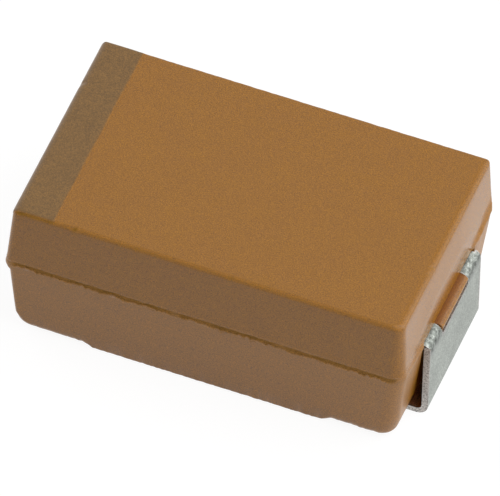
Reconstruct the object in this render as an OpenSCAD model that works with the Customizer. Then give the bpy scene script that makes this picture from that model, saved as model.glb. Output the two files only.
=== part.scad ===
// Moulded chip capacitor with a niobium oxide anode, in the 7343-31 case size.
// Millimetres. +X runs from the anode end to the cathode end and +Z is up.
// The origin lies under the middle of the part, on the plane of the solder feet.

/* [Case] */
// Length of the upper half at the parting line
case_l = 7.04; // [6.7:0.02:7.4]
// Width of the upper half at the parting line
case_w = 4.27; // [4.1:0.01:4.7]
// Height of the top face above the solder plane
case_h = 2.91; // [2.75:0.01:3.3]
// Height of the parting line above the solder plane
part_z = 1.78; // [1.7:0.01:1.85]
// How far the lower half is set back from the upper half at each end
end_step = 0.03; // [0.01:0.01:0.06]
// How far the lower half is set back from the upper half at each side
side_step = 0.01; // [0.005:0.005:0.06]
// How far the case sits off the middle of the terminals, towards the anode end
case_shift = 0.02; // [0:0.01:0.05]
// Draft of the upper half's walls, in degrees
upper_draft = 3; // [1:0.5:8]
// Draft of the lower half's walls, in degrees
lower_draft = 5; // [1:0.5:7]
// Round of the top face's edges
top_edge_r = 0.1; // [0.05:0.01:0.3]
// Round of the floor's edges between the solder feet
floor_edge_r = 0.1; // [0.05:0.01:0.3]
// Round of the floor's edges beside the solder feet
end_edge_r = 0.2; // [0.05:0.01:0.3]
// How far the floor rises beside the solder feet
end_rise = 0.02; // [0.01:0.01:0.06]
// Round of the upright corners at the top face
top_corner_r = 0.1; // [0.05:0.01:0.4]
// Round of the upright corners at the parting line
part_corner_r = 0.1; // [0.05:0.01:0.4]
// Round of the upright corners at the floor
floor_corner_r = 0.12; // [0.05:0.01:0.4]
// Gap between the solder plane and the case's floor
stand_off = 0.02; // [0.01:0.01:0.06]

/* [Terminals] */
// Thickness of the lead frame sheet
sheet_t = 0.11; // [0.08:0.01:0.15]
// Width of each terminal's wall and foot
terminal_w = 2.36; // [2.24:0.02:2.6]
// Width of each terminal where it leaves the case
neck_w = 2.24; // [1.9:0.02:2.34]
// Depth of the lead frame's upper face below the parting line
lead_drop = 0.13; // [0.05:0.01:0.18]
// Length of each solder foot from the end of the part
foot_l = 1.3; // [1.1:0.05:1.6]
// Inside radius of the bend where a terminal leaves the case
top_bend_r = 0.05; // [0.03:0.01:0.12]
// Inside radius of the bend above each foot
foot_bend_r = 0.1; // [0.05:0.01:0.25]
// Width of the window between a terminal's two legs
window_w = 1.2; // [0.8:0.02:1.4]
// How far the window reaches into the case
window_in = 0.3; // [0.1:0.02:0.4]
// Gap between the resin tongue and the window's lower edge
window_gap = 0.1; // [0.05:0.01:0.2]
// Round of the window's lower corners
window_r = 0.08; // [0.02:0.01:0.15]
// Gap between a foot's sides and the sides of its pocket
pocket_side_gap = 0.1; // [0.02:0.01:0.2]
// Gap between a foot and the roof of its pocket
pocket_gap = 0.05; // [0.01:0.01:0.08]
// Gap between a foot's inner edge and the end of its pocket
pocket_end_gap = 0.2; // [0.05:0.05:0.4]

/* [Element] */
// Length of the sintered anode pellet
pellet_l = 4.6; // [4:0.05:4.9]
// Width of the sintered anode pellet
pellet_w = 3.2; // [2.6:0.05:3.4]
// Height of the sintered anode pellet
pellet_h = 1.55; // [1.3:0.05:1.7]
// Round of the pellet's upright edges
pellet_r = 0.15; // [0.05:0.05:0.3]
// Thickness of the manganese dioxide on the pellet
oxide_t = 0.04; // [0.02:0.01:0.06]
// Thickness of the carbon coat
carbon_t = 0.02; // [0.01:0.01:0.04]
// Thickness of the silver coat
silver_t = 0.03; // [0.02:0.01:0.05]
// Distance from the pellet's anode face to the rim of the carbon coat
carbon_rim = 0.2; // [0.1:0.05:0.3]
// Distance from the rim of the carbon coat to the rim of the silver coat
silver_rim = 0.08; // [0.05:0.01:0.15]

/* [Anode joint] */
// Diameter of the anode wire
wire_d = 0.3; // [0.2:0.02:0.4]
// How far the wire is sunk into the pellet
wire_in = 3; // [2:0.1:3.5]
// How far the wire runs along the weld tab
weld_l = 0.55; // [0.3:0.05:0.65]
// Depth of the flat that welding leaves on the wire
weld_flat = 0.03; // [0.01:0.01:0.06]
// Width of the anode terminal's weld tab
weld_tab_w = 1; // [0.6:0.05:1.2]
// Length of the full-width shoulder behind the anode terminal's window
shoulder_l = 0.3; // [0.2:0.02:0.4]
// Gap between the washer and the weld tab
tab_gap = 0.25; // [0.1:0.05:0.4]
// Diameter of the insulating washer on the wire
washer_d = 0.9; // [0.6:0.05:1.2]
// Thickness of the insulating washer
washer_t = 0.12; // [0.06:0.02:0.2]

/* [Cathode joint] */
// Distance from the case's end to the cathode terminal's riser
riser_in = 0.5; // [0.35:0.05:0.6]
// Gap between the riser and the coated pellet
riser_gap = 0.12; // [0.05:0.01:0.2]
// Inside radius of the riser's bends
riser_bend_r = 0.1; // [0.05:0.01:0.15]
// Length of the shelf under the pellet
shelf_l = 1.8; // [1.2:0.1:2.6]
// Thickness of the conductive adhesive
adhesive_t = 0.04; // [0.02:0.01:0.06]

/* [Marking] */
// Width of the polarity bar on the top face
bar_w = 0.62; // [0.4:0.02:1]
// Thickness of the bar's ink
bar_t = 0.01; // [0.005:0.005:0.02]

/* [Hidden] */

// Facets of a full circle
round_fn = 32;
// Steps in which the rounded edge of the top or the floor is drawn
edge_steps = 6;
// Steps in which a quarter turn of an upright corner is drawn
corner_steps = 4;
// Overshoot of each cut
skin = 0.002;
// A quarter turn, in degrees
quarter = 90;

// Lead frame: the plane in which both terminals leave the case, and the fold outside it
lead_top = part_z - lead_drop;
lead_z = lead_top - sheet_t;
bend_x = case_l / 2 - end_step;
end_x = bend_x + top_bend_r + sheet_t;
window_x = case_l / 2 - window_in;
wall_run = lead_z - top_bend_r - foot_bend_r - sheet_t;
foot_run = foot_l - foot_bend_r - sheet_t;

// Case: the lower half's outline, the foot pockets and the edge of the top face's flat
lower_l = case_l - 2 * end_step;
lower_w = case_w - 2 * side_step;
pocket_roof = sheet_t + pocket_gap;
pocket_x = end_x - foot_l - pocket_end_gap;
flat_in = (case_h - part_z) * tan(upper_draft) + max(top_edge_r, top_corner_r);

// Element: the wire's height follows the weld, and the pellet is centred on the wire
wire_z = lead_z - wire_d / 2 + weld_flat;
coat_t = oxide_t + carbon_t + silver_t;
riser_x = case_l / 2 - riser_in;
pellet_x1 = riser_x - sheet_t - riser_gap - coat_t;
pellet_x0 = pellet_x1 - pellet_l;
oxide_x0 = pellet_x0 - oxide_t;
carbon_x0 = pellet_x0 + carbon_rim;
silver_x0 = carbon_x0 + silver_rim;
washer_x = oxide_x0 - washer_t;
tab_x = washer_x - tab_gap;
wire_x0 = tab_x - weld_l;

// Cathode shelf: its top carries the adhesive under the coated pellet
shelf_top = wire_z - pellet_h / 2 - coat_t - adhesive_t;
shelf_x0 = riser_x - sheet_t - riser_bend_r - shelf_l;
riser_run = lead_z - shelf_top - 2 * riser_bend_r;
lead_run = bend_x - riser_x - riser_bend_r;

// Outline of a drafted wall from its foot to its flat face: a leaning straight, then the rounded edge
function wall_line(reach, h, draft, edge_r) =
    let (centre = reach - edge_r / cos(draft) - (h - edge_r) * tan(draft))
        concat(
            [[reach, 0]],
            [
                for (i = [0:edge_steps])
                    let (a = draft + (quarter - draft) * i / edge_steps)
                        [centre + edge_r * cos(a), h - edge_r + edge_r * sin(a)]
            ]
        );

// Two opposite walls with all that lies between them, as a prism along Y
module wall_prism(reach, run, h, draft, edge_r) {
    line = wall_line(reach, h, draft, edge_r);
    last = len(line) - 1;
    rotate([quarter, 0, 0])
        linear_extrude(run, center = true)
            polygon(concat(line, [for (i = [last:-1:0]) [-line[i][0], line[i][1]]]));
}

// A block on the plane z = 0 whose walls lean in by the draft, with its upper edges rounded.
// Each upright corner is turned in equal facets that touch a cone, which widens by its growth.
module drafted_block(l, w, h, draft, corner_r, growth, edge_r) {
    function reach(a) =
        (l / 2 - corner_r) * abs(cos(a)) + (w / 2 - corner_r) * abs(sin(a)) + corner_r;
    function lean(a) =
        let (spread = abs(cos(a)) + abs(sin(a)))
            atan(tan(draft) * spread + growth * (spread - 1));
    intersection_for (i = [0:2 * corner_steps - 1]) {
        a = quarter * i / corner_steps;
        rotate([0, 0, a])
            wall_prism(reach(a), l + w, h, lean(a), edge_r);
    }
}

// A rectangle from the origin with its four corners rounded
module rounded_rect(l, w, r) {
    translate([r, 0])
        square([l - 2 * r, w]);
    translate([0, r])
        square([l, w - 2 * r]);
    for (x = [r, l - r], y = [r, w - r])
        translate([x, y])
            circle(r, $fn = round_fn);
}

// A strip of sheet folded in the XZ plane: each move is a straight run, a turn and its inside radius.
// A positive turn folds the strip downwards, away from its upper face.
module folded_strip(moves, width, i = 0) {
    if (i < len(moves)) {
        run = moves[i][0];
        turn = moves[i][1];
        r = moves[i][2];
        down = turn > 0;
        axis_z = down ? -r : sheet_t + r;
        translate([0, -width / 2, 0])
            cube([run, width, sheet_t]);
        translate([run, 0, axis_z]) {
            if (turn != 0)
                rotate([quarter, 0, 0])
                    rotate_extrude(angle = abs(turn), start = down ? quarter - turn : -quarter)
                        translate([r, -width / 2])
                            square([sheet_t, width]);
            rotate([0, turn, 0])
                translate([0, 0, -axis_z])
                    folded_strip(moves, width, i + 1);
        }
    }
}

// A terminal's wall and foot, from the end of its top bend
module wall_and_foot() {
    translate([end_x - sheet_t, 0, lead_z - top_bend_r])
        rotate([0, quarter, 0])
            folded_strip([[wall_run, quarter, foot_bend_r], [foot_run, 0, 0]], terminal_w);
}

// The window that splits a terminal into two legs where it leaves the case
module leg_window() {
    bottom = lead_z - window_gap;
    translate([window_x, 0, 0])
        rotate([quarter, 0, quarter])
            linear_extrude(end_x)
                translate([-window_w / 2, bottom])
                    rounded_rect(window_w, lead_top - bottom + 2 * window_r, window_r);
}

// What is stamped away on both sides of the weld tab
module tab_sides() {
    tab_l = window_x - shoulder_l + tab_x;
    for (m = [0, 1])
        mirror([0, m, 0])
            translate([-tab_x - skin, weld_tab_w / 2, lead_z - skin])
                cube([tab_l + skin, neck_w, sheet_t + 2 * skin]);
}

// The pellet grown on all sides, with its anode face in its own place
module grown_pellet(grow, anode_face) {
    l = pellet_x1 + grow - anode_face;
    w = pellet_w + 2 * grow;
    h = pellet_h + 2 * grow;
    translate([anode_face, -w / 2, wire_z - h / 2])
        linear_extrude(h)
            rounded_rect(l, w, pellet_r + grow);
}

// The wire's round rod, without the flat of its weld
module wire_rod() {
    translate([wire_x0, 0, wire_z])
        rotate([0, quarter, 0])
            cylinder(d = wire_d, h = pellet_x0 + wire_in - wire_x0, $fn = round_fn);
}

// The case above its parting line
module upper_half() {
    h = case_h - part_z;
    growth = (top_corner_r - part_corner_r) / h;
    translate([-case_shift, 0, part_z])
        drafted_block(case_l, case_w, h, upper_draft, part_corner_r, growth, top_edge_r);
}

// The case between its parting line and a floor at a given height
module lower_block(floor_z, edge_r) {
    growth = (floor_corner_r - part_corner_r) / (part_z - stand_off);
    translate([-case_shift, 0, part_z])
        mirror([0, 0, 1])
            drafted_block(lower_l, lower_w, part_z - floor_z, lower_draft, part_corner_r, growth, edge_r);
}

// The case below its parting line, with the floor raised a little at both ends
module lower_half() {
    lower_block(stand_off + end_rise, end_edge_r);
    intersection() {
        lower_block(stand_off, floor_edge_r);
        translate([-pocket_x, -case_w / 2, 0])
            cube([2 * pocket_x, case_w, part_z]);
    }
}

// The tongue of resin that fills a terminal's window, with a round nose
module tongue() {
    nose_x = end_x - sheet_t / 2;
    translate([0, window_w / 2, lead_z + sheet_t / 2])
        rotate([quarter, 0, 0])
            linear_extrude(window_w) {
                translate([window_x, -sheet_t / 2])
                    square([nose_x - window_x, sheet_t]);
                translate([nose_x, 0])
                    circle(d = sheet_t, $fn = round_fn);
            }
}

// The recess in the case's floor that a solder foot lies in
module foot_pocket() {
    w = terminal_w + 2 * pocket_side_gap;
    translate([pocket_x, -w / 2, 0])
        cube([end_x - pocket_x, w, pocket_roof]);
}

// Everything that the resin is moulded round
module insert() {
    anode_terminal();
    cathode_terminal();
    grown_pellet(oxide_t, oxide_x0);
    grown_pellet(oxide_t + carbon_t, carbon_x0);
    grown_pellet(coat_t, silver_x0);
    wire_rod();
    wire_washer();
    silver_adhesive();
}

module moulded_case() {
    color("peru")
        difference() {
            union() {
                upper_half();
                lower_half();
                for (m = [0, 1])
                    mirror([m, 0, 0])
                        tongue();
            }
            for (m = [0, 1])
                mirror([m, 0, 0])
                    foot_pocket();
            insert();
        }
}

module anode_terminal() {
    tab_run = bend_x + tab_x;
    color("silver")
        mirror([1, 0, 0])
            difference() {
                union() {
                    translate([-tab_x, 0, lead_z])
                        folded_strip([[tab_run, quarter, top_bend_r]], neck_w);
                    wall_and_foot();
                }
                leg_window();
                tab_sides();
            }
}

module cathode_terminal() {
    inside_moves = [
        [shelf_l, -quarter, riser_bend_r],
        [riser_run, quarter, riser_bend_r],
        [lead_run, quarter, top_bend_r]
    ];
    color("silver")
        difference() {
            union() {
                translate([shelf_x0, 0, shelf_top - sheet_t])
                    folded_strip(inside_moves, neck_w);
                wall_and_foot();
            }
            leg_window();
        }
}

module anode_pellet() {
    color("dimgray")
        difference() {
            grown_pellet(0, pellet_x0);
            wire_rod();
        }
}

module anode_wire() {
    color("slategray")
        difference() {
            wire_rod();
            translate([wire_x0 - skin, -wire_d, lead_z])
                cube([weld_l + skin, 2 * wire_d, wire_d]);
        }
}

module wire_washer() {
    color("white")
        difference() {
            translate([washer_x, 0, wire_z])
                rotate([0, quarter, 0])
                    cylinder(d = washer_d, h = washer_t, $fn = round_fn);
            wire_rod();
        }
}

module manganese_dioxide_coat() {
    color("black")
        difference() {
            grown_pellet(oxide_t, oxide_x0);
            grown_pellet(0, pellet_x0);
            wire_rod();
        }
}

module carbon_coat() {
    color("darkslategray")
        difference() {
            grown_pellet(oxide_t + carbon_t, carbon_x0);
            grown_pellet(oxide_t, oxide_x0);
        }
}

module silver_coat() {
    color("lightgray")
        difference() {
            grown_pellet(coat_t, silver_x0);
            grown_pellet(oxide_t + carbon_t, carbon_x0);
        }
}

module silver_adhesive() {
    color("gainsboro")
        translate([shelf_x0, -neck_w / 2, shelf_top])
            cube([shelf_l, neck_w, adhesive_t]);
}

module polarity_bar() {
    flat_l = case_l - 2 * flat_in;
    flat_w = case_w - 2 * flat_in;
    color("rosybrown")
        translate([-case_shift - flat_l / 2, -flat_w / 2, case_h])
            cube([bar_w, flat_w, bar_t]);
}

moulded_case();
anode_terminal();
cathode_terminal();
anode_pellet();
anode_wire();
wire_washer();
manganese_dioxide_coat();
carbon_coat();
silver_coat();
silver_adhesive();
polarity_bar();
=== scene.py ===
"""Looks of a moulded chip capacitor, laid over its packed solids.

The visible pieces are built in millimetres and handed over in metres.
"""
import math
from collections import namedtuple
from types import SimpleNamespace

import bmesh
import bpy
from bpy.props import FloatProperty, FloatVectorProperty, IntProperty, PointerProperty
from bpy.types import Operator, Panel, PropertyGroup
from mathutils import Matrix, Vector, geometry, kdtree, noise
from mathutils.bvhtree import BVHTree


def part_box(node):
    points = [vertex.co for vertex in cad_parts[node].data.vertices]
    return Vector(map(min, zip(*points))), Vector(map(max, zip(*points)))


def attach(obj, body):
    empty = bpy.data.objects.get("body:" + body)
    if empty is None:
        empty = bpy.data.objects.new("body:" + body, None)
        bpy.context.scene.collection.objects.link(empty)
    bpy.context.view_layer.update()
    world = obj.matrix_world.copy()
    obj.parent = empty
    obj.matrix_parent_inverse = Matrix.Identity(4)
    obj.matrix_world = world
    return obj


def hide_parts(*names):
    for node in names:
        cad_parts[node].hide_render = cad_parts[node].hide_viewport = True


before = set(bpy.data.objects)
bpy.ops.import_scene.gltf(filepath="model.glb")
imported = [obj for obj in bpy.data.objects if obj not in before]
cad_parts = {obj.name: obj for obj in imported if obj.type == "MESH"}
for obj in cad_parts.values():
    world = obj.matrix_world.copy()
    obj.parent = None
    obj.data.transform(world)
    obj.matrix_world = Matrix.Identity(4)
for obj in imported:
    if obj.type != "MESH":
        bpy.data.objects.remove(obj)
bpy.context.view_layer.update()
case_low, case_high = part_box("moulded_case")
strip_low, strip_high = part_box("cathode_terminal")
bar_low, bar_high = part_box("polarity_bar")

bl_info = {
    "name": "Moulded chip capacitor",
    "version": (1, 0, 0),
    "blender": (4, 5, 0),
    "location": "3D View > Sidebar > Capacitor",
    "description": "Builds the case, the terminals, the polarity bar and the studio of a chip capacitor",
    "category": "Object",
}

MM = 0.001
QUARTER = math.pi / 2
TINY = 1e-9

# Distance within which two points of a mesh are one, in millimetres
SAME_PLACE = 0.0004

# Settings


def size(label, about, default_mm):
    """A length whose default is given in millimetres."""
    return FloatProperty(
        name=label, description=about, default=default_mm * MM, precision=5, subtype="DISTANCE", unit="LENGTH"
    )


def angle(label, about, degrees):
    """An angle whose default is given in degrees."""
    return FloatProperty(
        name=label, description=about, default=math.radians(degrees), subtype="ANGLE", unit="ROTATION"
    )


def paint(label, about, colour):
    """A colour in linear red, green and blue."""
    return FloatVectorProperty(
        name=label, description=about, default=colour, min=0.0, max=1.0, size=3, subtype="COLOR"
    )


def amount(label, about, value):
    """A plain number."""
    return FloatProperty(name=label, description=about, default=value, precision=4)


class CaseSizes(PropertyGroup):
    """Sizes of the moulded case."""

    length: size("Length", "Length of the upper half at the parting line", 7.04)
    width: size("Width", "Width of the upper half at the parting line", (case_high.y - case_low.y) / MM)
    height: size("Height", "Height of the top face above the solder plane", case_high.z / MM)
    part_height: size("Parting height", "Height of the parting line above the solder plane", 1.78)
    end_step: size("End step", "How far the lower half is set back at each end", 0.03)
    side_step: size("Side step", "How far the lower half is set back at each side", 0.01)
    shift: size("Shift", "How far the case sits off the middle, towards the anode end", 0.02)
    upper_draft: angle("Upper draft", "Lean of the upper half's walls", 3)
    lower_draft: angle("Lower draft", "Lean of the lower half's walls", 5)
    front_lean: size("Front lean", "How much further the front wall leans in at the top", 0.08)
    cathode_lean: size("Cathode lean", "How much further the cathode end leans in at the top", 0.005)
    front_round: size("Front round", "Round of the top face's edge at the front", 0.09)
    back_round: size("Back round", "Round of the top face's edge at the back", 0.045)
    cathode_round: size("Cathode round", "Drop of the top face's edge at the cathode end", 0.06)
    cathode_over: size("Cathode reach", "How far that edge's round reaches over the top face", 0.15)
    anode_round: size("Anode round", "Round of the top face's edge at the anode end", 0.14)
    floor_round: size("Floor round", "Round of the floor's edges between the feet", 0.065)
    anode_floor: size("Anode floor round", "Round of the floor's edges beside the anode foot", 0.2)
    cathode_floor: size("Cathode floor round", "Round of the floor's edges beside the cathode foot", 0.215)
    end_rise: size("End rise", "How far the floor rises beside the feet", 0.02)
    stand_off: size("Stand-off", "Gap between the solder plane and the floor", case_low.z / MM)
    corner: size("Corner", "Length of a side that is left to its upright corner", 0.1)
    step_start: size("Step start", "Distance from the middle to the rise of the floor's edge", 2.27)
    step_skew: size("Step skew", "How much later the floor's edge turns rounder towards the cathode", 0.05)
    pocket_start: size("Pocket start", "Distance from the middle to a foot pocket", 2.15)
    pocket_width: size("Pocket width", "Width of a foot pocket", 2.56)
    pocket_roof: size("Pocket roof", "Height of a foot pocket's roof", 0.16)
    groove_depth: size("Groove depth", "Depth of the dark line at the parting line", 0.026)
    groove_height: size("Groove height", "Height of the dark line at the parting line", 0.092)
    groove_rise: size("Groove rise", "Height of the groove's upper edge above the parting line", 0.014)
    lip: size("Lip", "How far the lip under the parting line stands out", 0.008)
    cathode_fin: size("Cathode fin", "How far flash stands out beside the cathode terminal", 0.040)
    corner_fin: size("Corner fin", "How far that flash stands out at the case's corner", 0.010)
    anode_fin: size("Anode fin", "How far flash stands out at the anode end", 0.014)
    fin_height: size("Fin height", "Height of the flash at the ends, below the parting line", 0.11)


class TerminalSizes(PropertyGroup):
    """Sizes of the folded terminals."""

    sheet: size("Sheet", "Thickness of the strip", 0.11)
    end: size("End", "Distance from the middle to the outside of a terminal's wall", strip_high.x / MM)
    lead_top: size("Lead top", "Height of the strip's upper face inside the case", strip_high.z / MM)
    width: size("Width", "Width of the wall and the foot", (strip_high.y - strip_low.y) / MM)
    neck: size("Neck", "Width of the strip where it leaves the case", 2.24)
    foot: size("Foot", "Length of a foot from the end of the part", 1.3)
    top_bend: size("Top bend", "Inside radius of the bend where the strip leaves the case", 0.05)
    foot_bend: size("Foot bend", "Inside radius of the bend above the foot", 0.1)
    window: size("Window", "Width of the window between the two legs", 1.2)
    window_start: size("Window start", "Distance from the middle to the window's inner end", 3.22)
    window_drop: size("Window drop", "Distance from the strip's lower face to the window's lower edge", 0.1)
    window_round: size("Window round", "Round of the window's lower corners", 0.08)
    tongue: size("Tongue", "Thickness of the tongue of resin in the window", 0.175)
    ear: size("Ear", "Height of the upright shoulder beside each leg", 0.125)
    slit: size("Slit", "Gap between a leg and the shoulder beside it", 0.010)
    edge_round: size("Edge round", "Round of the strip's cut edges", 0.012)
    shelf_start: size("Shelf start", "Distance from the middle to the shelf's end", 1.01)
    shelf_top: size("Shelf top", "Height of the shelf's upper face", 0.515)
    shelf: size("Shelf", "Length of the cathode terminal's shelf", 1.8)
    riser_bend: size("Riser bend", "Inside radius of the riser's bends", 0.1)
    tab_start: size("Tab start", "Distance from the middle to the weld tab's end", 2.31)
    tab_end: size("Tab end", "Distance from the middle to the shoulder behind the window", 2.92)
    tab_width: size("Tab width", "Width of the weld tab", 1.0)
    strain: size("Strain", "Height of the crumpled tin on the top bend", 0.005)


class MarkSizes(PropertyGroup):
    """Sizes of the polarity bar and of the flash beads."""

    bar_width: size("Bar width", "Width of the polarity bar on the flat", (bar_high.x - bar_low.x) / MM)
    ink: size("Ink", "Thickness of the bar's ink", (bar_high.z - bar_low.z) / MM)
    ragged: size("Ragged edge", "How far the bar's edge wanders", 0.008)
    fade: size("Fade", "Width over which the ink thins out at its edge", 0.045)
    bead: size("Bead", "Radius of the flash bead under the parting line", 0.012)
    crumb: size("Crumb", "Radius of the crumbs of flash", 0.012)
    crumb_share: amount("Crumb share", "Share of the places along the bead that hold a crumb", 0.05)
    seed: IntProperty(name="Seed", description="Seed of the scattered crumbs", default=7)


class Finishes(PropertyGroup):
    """Colours of the materials."""

    resin: paint("Resin", "Moulded resin", (0.365, 0.148, 0.013))
    resin_olive: paint("Olive resin", "Clouds in the moulded resin", (0.340, 0.140, 0.006))
    # Painted shade: this darker, redder resin paints shade on the tongues' roots, tops and undersides
    tongue: paint("Tongue", "Resin of the tongue in a terminal's window", (0.190, 0.055, 0.010))
    # Painted shade: this darker resin is painted in the parting groove and on the front edge at the anode
    # end, and colours the nicks darker
    seam: paint("Seam", "Resin in the groove of the parting line", (0.275, 0.128, 0.012))
    # The flash colour is also put on the tongues' rims as a painted highlight
    flash: paint("Flash", "Rough resin of the flash", (0.450, 0.225, 0.065))
    ink: paint("Ink", "Ink of the polarity bar", (0.214, 0.112, 0.030))
    tin: paint("Tin", "Matte tin plating", (0.338, 0.362, 0.331))
    cut: paint("Cut edge", "Sheared edge of the strip", (0.415, 0.392, 0.368))
    # Painted reflection: this warm colour on the inside of a terminal's wall stands in for the resin it
    # reflects and the light in the gap
    gap: paint("Gap", "Inside of a terminal's wall, which shows the resin beside it", (0.620, 0.330, 0.160))
    floor: paint("Floor", "Studio floor", (0.86, 0.86, 0.86))


class StageSettings(PropertyGroup):
    """Camera and light."""

    azimuth: angle("Azimuth", "Turn of the camera round the part", 19.9444)
    elevation: angle("Elevation", "Height of the camera above the horizon", 48.9695)
    roll: angle("Roll", "Turn of the picture about the line of sight", -1.919)
    aim_height: size("Aim height", "Height of the point that the camera is set on", 1.5)
    distance: size("Distance", "Distance from the camera to that point", 331.74)
    slide_x: size("Slide across", "Slide of the camera across the picture", -0.00319)
    slide_y: size("Slide up", "Slide of the camera up the picture", -0.08815)
    lens: FloatProperty(name="Lens", description="Focal length of the camera", default=1440.0, unit="CAMERA")
    key: amount("Key", "Power of the large soft light, in watts", 0.078)
    fill: amount("Fill", "Power of the soft light beyond the anode end, in watts", 0.045)
    rim: amount("Rim", "Power of the soft light behind the cathode end, in watts", 0.030)
    ambient: amount("Ambient", "Strength of the light from all round", 0.135)


def in_mm(group):
    """A settings group as plain values, with its lengths in millimetres."""
    values = {}
    for key, prop in group.bl_rna.properties.items():
        if key in ("rna_type", "name"):
            continue
        value = getattr(group, key)
        values[key] = value / MM if getattr(prop, "subtype", "") == "DISTANCE" else value
    return SimpleNamespace(**values)


# Shared helpers

# Unevenness by what it moves: its middle, then height, waves per millimetre and seed of each layer of noise
WAVES = {
    "fin": (0.0, (0.010, 4.0, 3.0), (0.006, 11.0, 5.0)),
    "fin height": (1.0, (0.12, 3.0, 31.0)),
    "worn edge": (0.0, (0.004, 9.0, 21.0)),
    "painted dark edge": (0.8, (0.5, 5.0, 22.0)),
    "smear": (0.26, (0.13, 4.0, 45.0)),
    "line tone": (0.0, (1.0, 2.6, 9.0)),
    "line": (0.0, (0.012, 1.1, 13.0), (0.012, 4.2, 15.0), (0.013, 15.0, 17.0)),
    "groove depth": (1.0, (0.3, 6.0, 19.0)),
    "groove height": (1.0, (0.4, 3.3, 23.0), (0.7, 15.0, 25.0)),
    "lip": (0.7, (0.9, 5.0, 27.0), (0.5, 16.0, 29.0)),
    "nose": (0.0, (0.004, 6.0, 33.0)),
    "floor step": (0.0, (0.03, 3.0, 35.0)),
    "floor round": (1.0, (0.12, 5.0, 37.0)),
    "floor edge": (0.0, (0.008, 7.0, 39.0), (0.008, 19.0, 40.0)),
    "crumpled tin": (0.0, (0.7, 13.0, 41.0), (0.5, 31.0, 43.0)),
    "bar edge": (0.0, (1.0, 2.4, 51.0), (0.6, 9.0, 53.0)),
    "bar end": (0.008, (0.02, 1.0, 55.0)),
}

# Keeps level places off the noise's own grid, where it is 0
NOISE_LIFT = 0.37


def smooth(low, high, value):
    """Goes from 0 to 1 between two values, with soft ends."""
    t = min(max((value - low) / (high - low), 0.0), 1.0)
    return t * t * (3.0 - 2.0 * t)


def mix(a, b, share):
    """A value between two others."""
    return a + (b - a) * share


def uneven(what, place):
    """A value that varies smoothly with a place in millimetres."""
    value, *layers = WAVES[what]
    for height, scale, seed in layers:
        spot = Vector((place[0] * scale + seed, place[1] * scale - seed, place[2] * scale + NOISE_LIFT))
        value += height * noise.noise(spot)
    return value


def new_object(name, data):
    """A new object in the scene."""
    made = bpy.data.objects.new(name, data)
    bpy.context.scene.collection.objects.link(made)
    return made


def mesh_from(bm, name):
    """A mesh from a bmesh, which is freed."""
    mesh = bpy.data.meshes.new(name)
    bm.to_mesh(mesh)
    bm.free()
    return mesh


def cleaned(bm):
    """Joins points that nearly coincide, drops faces without area and turns the rest outwards."""
    bmesh.ops.remove_doubles(bm, verts=bm.verts, dist=SAME_PLACE)
    bmesh.ops.triangulate(bm, faces=[face for face in bm.faces if len(face.verts) > 4])
    bmesh.ops.dissolve_degenerate(bm, dist=SAME_PLACE, edges=bm.edges)
    bmesh.ops.recalc_face_normals(bm, faces=bm.faces)
    if bm.calc_volume(signed=True) < 0:
        bmesh.ops.reverse_faces(bm, faces=bm.faces)


def evaluated(holder, name):
    """The mesh of an object with its modifiers applied, after which the object is removed."""
    graph = bpy.context.evaluated_depsgraph_get()
    mesh = bpy.data.meshes.new_from_object(holder.evaluated_get(graph), depsgraph=graph)
    mesh.name = name
    bpy.data.objects.remove(holder)
    return mesh


def finished_piece(name, mesh, material, sharp, replaced=()):
    """Turns a mesh in millimetres into a piece in metres that rides on the body.

    Edges stay sharp where its faces meet at more than a given angle in degrees.
    """
    if not mesh.polygons:
        raise RuntimeError(name + " has no faces")
    mesh.transform(Matrix.Scale(MM, 4))
    mesh.name = name
    mesh.materials.clear()
    mesh.materials.append(material)
    mesh.polygons.foreach_set("use_smooth", [True] * len(mesh.polygons))
    mesh.set_sharp_from_angle(angle=math.radians(sharp))
    piece = new_object(name, mesh)
    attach(piece, "root")
    if replaced:
        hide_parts(*replaced)


def plug(tree, node, inputs):
    """Links inputs of a node to other nodes' first outputs or to sockets, or sets them to plain values."""
    for key, value in inputs.items():
        if isinstance(key, int):
            target = node.inputs[key]
        else:
            target = [s for s in node.inputs if s.name == key and s.enabled][0]
        if isinstance(value, bpy.types.Node):
            value = [s for s in value.outputs if s.enabled][0]
        if isinstance(value, bpy.types.NodeSocket):
            tree.links.new(value, target)
        elif target.type == "RGBA":
            target.default_value = (*value, 1.0)
        else:
            target.default_value = value


def add(tree, kind, inputs=None, **settings):
    """A new node with its settings and its inputs."""
    made = tree.nodes.new(kind)
    for key, value in settings.items():
        setattr(made, key, value)
    plug(tree, made, inputs or {})
    return made


def new_group(name, kind, inputs, outputs):
    """A new node tree with its sockets, and the sockets of its input node."""
    tree = bpy.data.node_groups.new(name, kind)
    for way, sockets in (("INPUT", inputs), ("OUTPUT", outputs)):
        for label, value in sockets.items():
            tree.interface.new_socket(label, in_out=way, socket_type="NodeSocket" + value)
    return tree, add(tree, "NodeGroupInput").outputs


# Moulded case

# Gap between upright sections, and margins within a window's edge, within a flat's edge and past the ends
STATION_GAP = 0.028
WINDOW_MARGIN = 0.003
FLAT_MARGIN = 0.03
POCKET_PAST_END = 1.0

# Least round of a corner, and steps of the rounds
LEAST_CORNER = 0.006
CORNER_STEPS = 10
EDGE_STEPS = 9
NOSE_STEPS = 8

# Heights of rows, above the parting line and above the solder plane
UPPER_WALL = (0.95, 0.8, 0.65, 0.53, 0.45, 0.36, 0.24, 0.14, 0.07)
LOWER_WALL = (1.45, 1.4, 1.3, 1.15, 0.85, 0.6, 0.4)

# Gaps of rows above, beside and below a tongue
ROW_ABOVE = 0.004
ROW_BESIDE = 0.001
ROW_BELOW = 0.012

# How high the wall over a tongue is upright, and how far within the window's edges
UPRIGHT = 0.45
UPRIGHT_MARGIN = 0.1

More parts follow.
